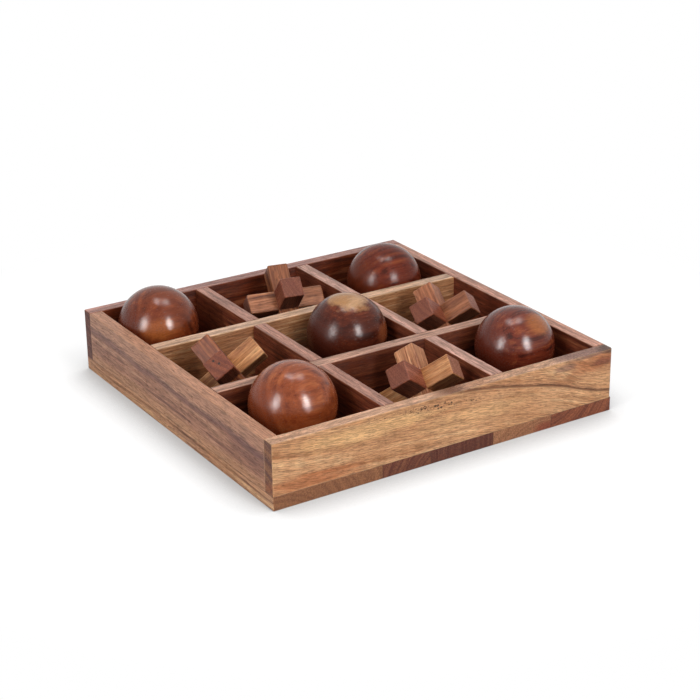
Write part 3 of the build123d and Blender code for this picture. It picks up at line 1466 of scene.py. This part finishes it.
@dataclass
class Jacks:
    """The four jacks: two lapped sticks and two stubs each."""

    shop: WoodShop
    stick_long: float = 0.0647
    stick_square: float = 0.0173
    pin_radius: float = 0.0010
    pin_length: float = 0.0060
    pin_proud: float = 0.00015
    pin_sides: int = 20
    # Where the pins stand on the stub's end, along the under stick and along the over one.
    first_pin: tuple[float, float] = (-0.00076, 0.00494)
    second_pin: tuple[float, float] = (0.00135, 0.00061)
    pin_end: Tone = Tone(30, 14, 10)
    first_seed: float = 50.0
    seed_step: float = 1.7

    def build(self) -> None:
        """Dresses every stick and stub, and drives the two pins."""
        seats = {
            "jack_left": JackSeat(-11.9, Stance.TRIPOD),
            "jack_front": JackSeat(-44.4, Stance.TRIPOD),
            "jack_right": JackSeat(-39.5, Stance.TRIPOD),
            "jack_back": JackSeat(-12.5, Stance.CRADLE),
        }
        # What all the sticks have in common, including painted shade that darkens their faces turned down.
        stick = {"underside_painted_shade": 0.6, "ring_width": 0.003, "fibre_depth": 0.6}
        # The end tones here are lighter than end grain is: painted light on the ends that face the lamps on
        # the right.
        gold = replace(
            TAN,
            deep=Tone(116, 66, 34),
            body=Tone(170, 114, 70),
            pale=Tone(202, 150, 100),
            drift=Tone(152, 94, 54),
            end=Tone(140, 90, 70),
            end_ring_share=0.4,
            **stick,
        )
        tan = replace(
            BROWN,
            deep=Tone(108, 56, 34),
            body=Tone(158, 100, 70),
            pale=Tone(188, 130, 96),
            drift=Tone(138, 80, 52),
            end=Tone(146, 100, 80),
            end_ring_share=0.4,
            **stick,
        )
        red = replace(
            RED,
            deep=Tone(84, 36, 24),
            body=Tone(130, 68, 46),
            pale=Tone(158, 94, 68),
            drift=Tone(112, 54, 36),
            end=Tone(118, 64, 44),
            end_ring_share=0.5,
            **stick,
        )
        blond = replace(
            tan,
            body=Tone(178, 122, 86),
            pale=Tone(208, 156, 116),
            drift=Tone(158, 100, 66),
            end=Tone(150, 106, 84),
        )
        umber = replace(
            tan,
            deep=Tone(84, 42, 24),
            body=Tone(134, 80, 50),
            pale=Tone(166, 108, 74),
            drift=Tone(112, 62, 38),
            end=Tone(142, 94, 78),
        )
        walnut = replace(
            umber,
            deep=Tone(70, 30, 14),
            body=Tone(112, 56, 30),
            pale=Tone(146, 86, 50),
            drift=Tone(92, 42, 22),
        )
        rust = replace(red, deep=Tone(80, 32, 18), end=Tone(124, 62, 36), end_ring_share=0.7)
        # Each jack's under stick, over stick and stubs.
        woods = {
            "jack_left": (gold, walnut, rust),
            "jack_front": (gold, blond, red),
            "jack_right": (umber, tan, red),
            "jack_back": (umber, umber, red),
        }
        seed = self.first_seed
        for name, jack_seat in seats.items():
            under, over, stubs = woods[name]
            for member, finish in zip(Member, (under, over, stubs, stubs)):
                self._finish(name, jack_seat, member, replace(finish, seed=seed))
                seed += self.seed_step
        pin = replace(red, end=self.pin_end, end_ring_share=0.0, wear_and_highlight_share=0.0, seed=seed)
        self._pins("jack_left", seats["jack_left"], pin)

    @staticmethod
    def _centre(name: str) -> Vector:
        """Finds the middle of a jack, where its sticks cross.

        Args:
            name: The jack's name.

        Returns:
            The middle of the box round its four pieces.
        """
        corners = [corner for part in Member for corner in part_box(name + "_" + part.value)]
        low = Vector(min(corner[axis] for corner in corners) for axis in range(3))
        high = Vector(max(corner[axis] for corner in corners) for axis in range(3))
        return (low + high) / 2

    def _pins(self, name: str, jack_seat: JackSeat, finish: WoodFinish) -> None:
        """The two pins that show in the end of a jack's upper stub.

        Args:
            name: The jack's name.
            jack_seat: How it lies.
            finish: The pins' wood.
        """
        under, over, stubs = jack_seat.axes()
        centre = self._centre(name)
        depth = self.stick_long / 2 - self.pin_length / 2 + self.pin_proud
        middle = centre + stubs * depth
        heads = [middle + under * u + over * v for u, v in (self.first_pin, self.second_pin)]
        facing = stubs.to_track_quat("Z", "Y").to_euler()
        half = Vector((self.pin_length, self.pin_radius, self.pin_radius)) / 2
        grain_turn = Matrix((stubs, under, stubs.cross(under))).transposed().to_euler()
        material = self.shop.material(name + "_pin_wood", finish, Seat(heads[0], grain_turn, half))
        piece = grown(name + "_pins", pin_row_tree(), {
            "start": heads[0],
            "step": heads[1] - heads[0],
            "facing": tuple(facing),
            "pins": len(heads),
            "sides": self.pin_sides,
            "head radius": self.pin_radius,
            "length": self.pin_length,
            "wood": material,
        })
        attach(piece, name + "_piece")
        report(piece.name, piece, material)

    def _finish(self, name: str, jack_seat: JackSeat, member: Member, finish: WoodFinish) -> None:
        """Dresses one piece of a jack.

        Args:
            name: The jack's name.
            jack_seat: How it lies.
            member: Which of its pieces.
            finish: That piece's wood.
        """
        under, over, stubs = jack_seat.axes()
        along = {Member.STICK_UNDER: under, Member.STICK_OVER: over}.get(member, stubs)
        beside = over if along is not over else stubs
        third = along.cross(beside)
        turn = Matrix((along, beside, third)).transposed().to_euler()
        half = Vector((self.stick_long, self.stick_square, self.stick_square)) / 2
        node = name + "_" + member.value
        dress(node, self.shop.material(node + "_wood", finish, Seat(self._centre(name), turn, half)))


class Glow(Enum):
    """What a softbox does, as whether it lights matt surfaces and whether it shows in glossy ones."""

    FILL = (True, False)
    GLINT = (False, True)


@dataclass(frozen=True)
class SoftBox:
    """A studio softbox that faces the game.

    Its brightness is how many times brighter than white it looks.
    """

    name: str
    glow: Glow
    compass: float
    climb: float
    distance: float
    width: float
    tall: float
    brightness: float

    def build(self) -> None:
        """Hangs the lamp and turns it to the game."""
        away = direction(math.radians(self.compass), math.radians(self.climb))
        data = bpy.data.lights.new(self.name, "AREA")
        data.shape = "RECTANGLE"
        data.size = self.width
        data.size_y = self.tall
        data.energy = self.brightness * math.pi * self.width * self.tall
        lamp = bpy.data.objects.new(self.name, data)
        facing = away.to_track_quat("Z", "Y").to_matrix().to_4x4()
        lamp.matrix_world = Matrix.Translation(away * self.distance) @ facing
        lamp.visible_diffuse, lamp.visible_glossy = self.glow.value
        bpy.context.scene.collection.objects.link(lamp)


@dataclass
class Studio:
    """The pale floor, the softboxes, the white surroundings and the camera."""

    floor_half: float = 3.0
    paper_white: float = 0.78

    # Between these distances from the game's middle the paper turns into plain white.
    sweep_start: float = 0.24
    sweep_end: float = 0.42

    # How much white lies over the paper near the game, and how bright it is there.
    white_share: float = 0.60
    white_near: float = 1.26

    # How strongly the surroundings light the game.
    even_light: float = 0.24

    # The shadow under the tray: how far it reaches, how much of the white is left in it, and
    # how open to the sky the paper is where the shadow is full and where it ends.
    shadow_reach: float = 0.05
    shadow_white: float = 0.42
    shadow_samples: int = 8
    nook: float = 0.45
    open_sky: float = 0.98

    # The camera: lens and sensor in millimetres, angles in degrees, places in metres.
    lens: float = 93.10
    sensor: float = 36.0
    azimuth: float = -32.232
    elevation: float = 22.919
    roll: float = -0.719
    distance: float = 1.43631
    aside: float = 0.006775
    above: float = 0.030332
    far_limit: float = 20.0

    def build(self) -> None:
        """Sets up everything round the game."""
        self._floor()
        self._world()
        # Each one's heading, climb, distance, width, height and brightness.
        for box in (
            SoftBox("left_fill", Glow.FILL, -166.0, 34.0, 1.7, 0.40, 1.2, 8.2),
            SoftBox("right_fill", Glow.FILL, -85.0, 40.0, 1.7, 0.40, 1.3, 11.8),
            SoftBox("top_fill", Glow.FILL, 60.0, 80.0, 1.5, 0.50, 0.50, 5.6),
            SoftBox("left_glint", Glow.GLINT, -166.0, 22.0, 1.7, 0.18, 0.8, 66.0),
            SoftBox("right_glint", Glow.GLINT, -85.0, 24.0, 1.7, 0.19, 0.8, 76.0),
            SoftBox("overhead_glint_left", Glow.GLINT, 113.0, 83.0, 1.5, 0.10, 0.34, 44.0),
            SoftBox("overhead_glint_right", Glow.GLINT, -7.0, 76.0, 1.5, 0.10, 0.34, 52.0),
        ):
            box.build()
        self._camera()

    def _floor(self) -> None:
        """Lays the white paper under the game."""
        edge = self.floor_half
        corners = [(-edge, -edge, 0.0), (edge, -edge, 0.0), (edge, edge, 0.0), (-edge, edge, 0.0)]
        mesh = bpy.data.meshes.new("studio_floor")
        mesh.from_pydata(corners, [], [(0, 1, 2, 3)])
        floor = bpy.data.objects.new("studio_floor", mesh)
        bpy.context.scene.collection.objects.link(floor)
        mesh.materials.append(self._paper())

    def _paper(self) -> bpy.types.Material:
        """White paper that keeps a faint shadow and otherwise looks as white as the backdrop.

        Returns:
            The new material.
        """
        material = bpy.data.materials.new("studio_floor_paper")
        material.use_nodes = True
        material.node_tree.nodes.clear()
        w = Wiring(material.node_tree)
        white = self.paper_white
        paper = w.add("ShaderNodeBsdfDiffuse", {"Color": (white, white, white, 1.0)})
        away = w.vector("LENGTH", w.add("ShaderNodeTexCoord").outputs["Object"])
        share = w.remap(away, self.sweep_start, self.sweep_end, self.white_share, 1.0)
        bright = w.remap(away, self.sweep_start, self.sweep_end, self.white_near, 1.0)
        reach = {"Distance": self.shadow_reach}
        sky = w.add("ShaderNodeAmbientOcclusion", reach, samples=self.shadow_samples).outputs["AO"]
        shade = w.remap(sky, self.nook, self.open_sky, self.shadow_white, 1.0)
        glow = w.add("ShaderNodeEmission", {"Strength": w.math("MULTIPLY", bright, shade)})
        mixed = w.add("ShaderNodeMixShader", {"Fac": w.math("MULTIPLY", self._seen(w), share)})
        w.feed(mixed.inputs[1], paper.outputs["BSDF"])
        w.feed(mixed.inputs[2], glow.outputs["Emission"])
        w.add("ShaderNodeOutputMaterial", {"Surface": mixed.outputs["Shader"]})
        return material

    @staticmethod
    def _seen(w: Wiring) -> Socket:
        """Finds the rays that show the background.

        Args:
            w: The wiring of the floor's or the world's material.

        Returns:
            1 for the camera's own rays, for mirrored ones and for those through glass.
        """
        rays = w.add("ShaderNodeLightPath").outputs
        mirrored = w.math("MAXIMUM", rays["Is Glossy Ray"], rays["Is Transmission Ray"])
        return w.math("MAXIMUM", rays["Is Camera Ray"], mirrored)

    def _world(self) -> None:
        """White to look at, and a moderate even light."""
        world = bpy.data.worlds.new("studio_surroundings")
        world.use_nodes = True
        world.node_tree.nodes.clear()
        w = Wiring(world.node_tree)
        strength = w.remap(self._seen(w), 0.0, 1.0, self.even_light, 1.0)
        light = w.add("ShaderNodeBackground", {"Color": (1.0, 1.0, 1.0, 1.0), "Strength": strength})
        w.add("ShaderNodeOutputWorld", {"Surface": light.outputs["Background"]})
        bpy.context.scene.world = world

    def _camera(self) -> None:
        """Stands the camera where the photograph was taken from."""
        azimuth = math.radians(self.azimuth)
        elevation = math.radians(self.elevation)
        flat = math.cos(elevation)
        back = Vector((math.sin(azimuth) * flat, -math.cos(azimuth) * flat, math.sin(elevation)))
        level = Vector((0.0, 0.0, 1.0)).cross(back).normalized()
        upright = back.cross(level)
        tilt = math.radians(self.roll)
        right = level * math.cos(tilt) + upright * math.sin(tilt)
        up = upright * math.cos(tilt) - level * math.sin(tilt)
        place = right * self.aside + up * self.above + back * self.distance
        data = bpy.data.cameras.new("studio_camera")
        data.lens = self.lens
        data.sensor_width = self.sensor
        data.clip_end = self.far_limit
        camera = bpy.data.objects.new("studio_camera", data)
        camera.matrix_world = Matrix.Translation(place) @ Matrix((right, up, back)).transposed().to_4x4()
        bpy.context.scene.collection.objects.link(camera)
        bpy.context.scene.camera = camera
        bpy.context.scene.view_settings.view_transform = "Standard"


def main() -> None:
    """Dresses the tray, the balls and the jacks, and sets up the studio."""
    logging.basicConfig(level=logging.INFO, format="%(name)s %(message)s")
    shop = WoodShop()
    Tray(shop).build()
    Balls(shop).build()
    Jacks(shop).build()
    Studio().build()


if __name__ == "__main__":
    main()
